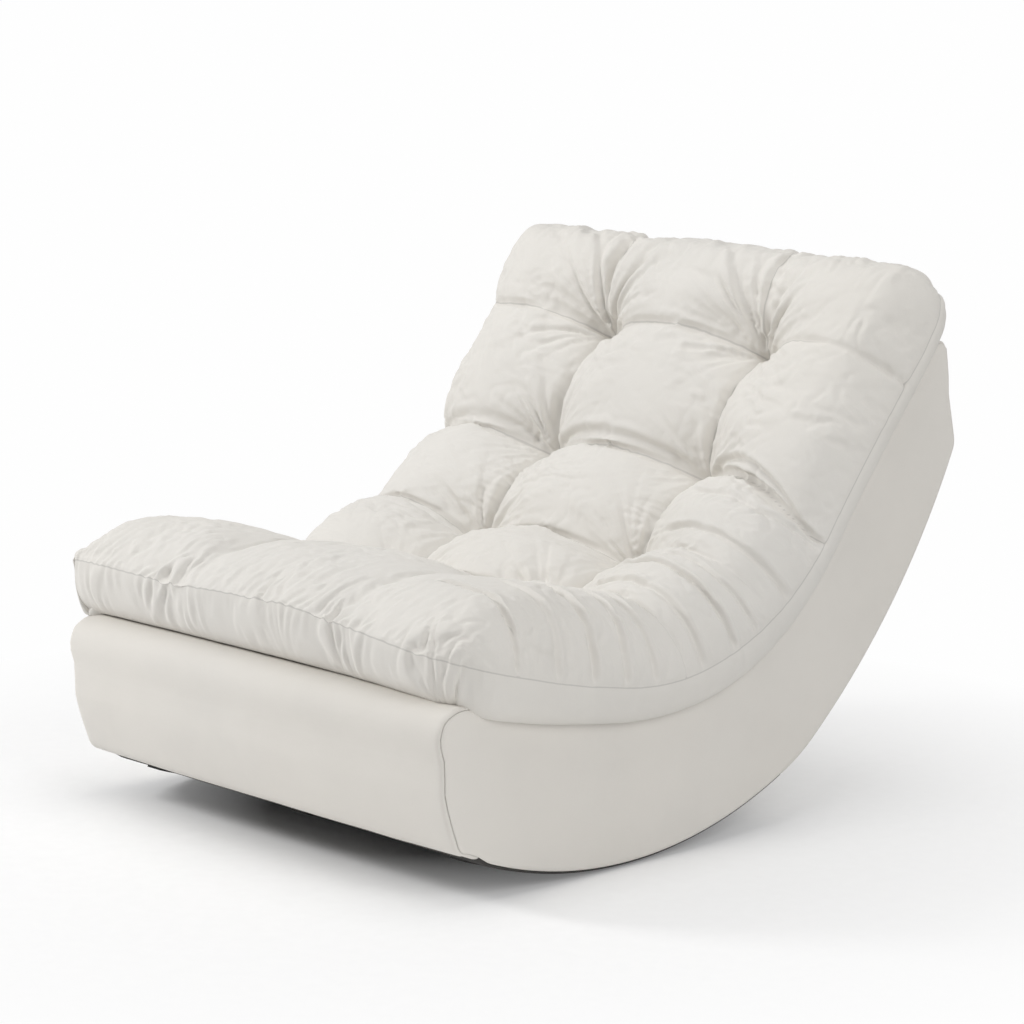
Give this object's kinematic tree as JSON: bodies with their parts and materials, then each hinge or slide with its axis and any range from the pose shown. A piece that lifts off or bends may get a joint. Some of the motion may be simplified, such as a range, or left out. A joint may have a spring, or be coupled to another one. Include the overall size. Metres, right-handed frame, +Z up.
{
  "type": "upholstered rocking chair",
  "caption": "Low upholstered rocking lounge chair: crescent base that rolls on the floor, with a thick tufted loose cushion over seat and back.",
  "frame": {"origin": "middle of the floor contact at rest, on the floor", "axes": "+X towards the sitter's left, -Y towards the front, +Z up"},
  "size_m": [0.9132, 1.0906, 0.8455],
  "materials": {
    "cloth": "matte ivory upholstery cloth with a short soft nap",
    "dark_cloth": "black non-slip underside cloth",
    "foam": "open-cell upholstery foam and felt",
    "filling": "fibre filling",
    "webbing": "elastic webbing",
    "tape": "hook and loop tape",
    "twine": "waxed tufting twine",
    "plywood": "birch plywood, sanded",
    "pine": "planed pine",
    "screw_steel": "zinc-plated steel",
    "weight_steel": "black-painted steel bar",
    "rubber": "matte black rubber",
    "disc_plastic": "moulded backing disc",
    "zip_tape": "woven zip tape with nylon coil",
    "zip_metal": "painted zinc"
  },
  "bodies": {
    "base": {"left_side_panel": "plywood", "right_side_panel": "plywood", "middle_rib": "plywood", "front_board": "plywood", "rocker_skin": "plywood", "front_seat_rail": "pine", "mid_seat_rail": "pine", "lumbar_rail": "pine", "back_rail": "pine", "top_rail": "pine", "toe_rail": "pine", "keel_rail": "pine", "heel_rail": "pine", "rear_rail": "pine", "corner_blocks": "pine", "left_side_padding": "foam", "right_side_padding": "foam", "front_padding": "foam", "deck_padding": "foam", "back_padding": "foam", "left_side_cover": "cloth", "right_side_cover": "cloth", "front_cover": "cloth", "deck_cover": "cloth", "back_cover": "cloth", "underside_cloth": "dark_cloth", "seat_webbing": "webbing", "frame_screws": "screw_steel", "counterweights": "weight_steel", "left_grip_strip": "rubber", "middle_grip_strip": "rubber", "right_grip_strip": "rubber", "deck_loop_tapes": "tape"},
    "cushion": {"cushion_filling": "filling", "cushion_top_cover": "cloth", "cushion_bottom_cover": "cloth", "tuft_ties": "twine", "tuft_discs": "disc_plastic", "cushion_hook_tapes": "tape", "zip_tapes": "zip_tape"},
    "zip_slider": {"zip_slider": "zip_metal"},
    "zip_pull": {"zip_pull": "zip_metal"}
  },
  "joints": [
    {"name": "cushion_lift", "type": "slide", "parent": "base", "child": "cushion", "axis": [0, -0.363, 0.9318], "range_m": [0, 0.25]},
    {"name": "zip_slide", "type": "slide", "parent": "cushion", "child": "zip_slider", "axis": [-1, 0, 0], "range_m": [0, 0.6]},
    {"name": "zip_pull_tip", "type": "hinge", "parent": "zip_slider", "child": "zip_pull", "pos_m": [0.3095, 0.69507, 0.81953], "axis": [0, 0.7727, -0.6347], "range_deg": [0, 150]}
  ]
}
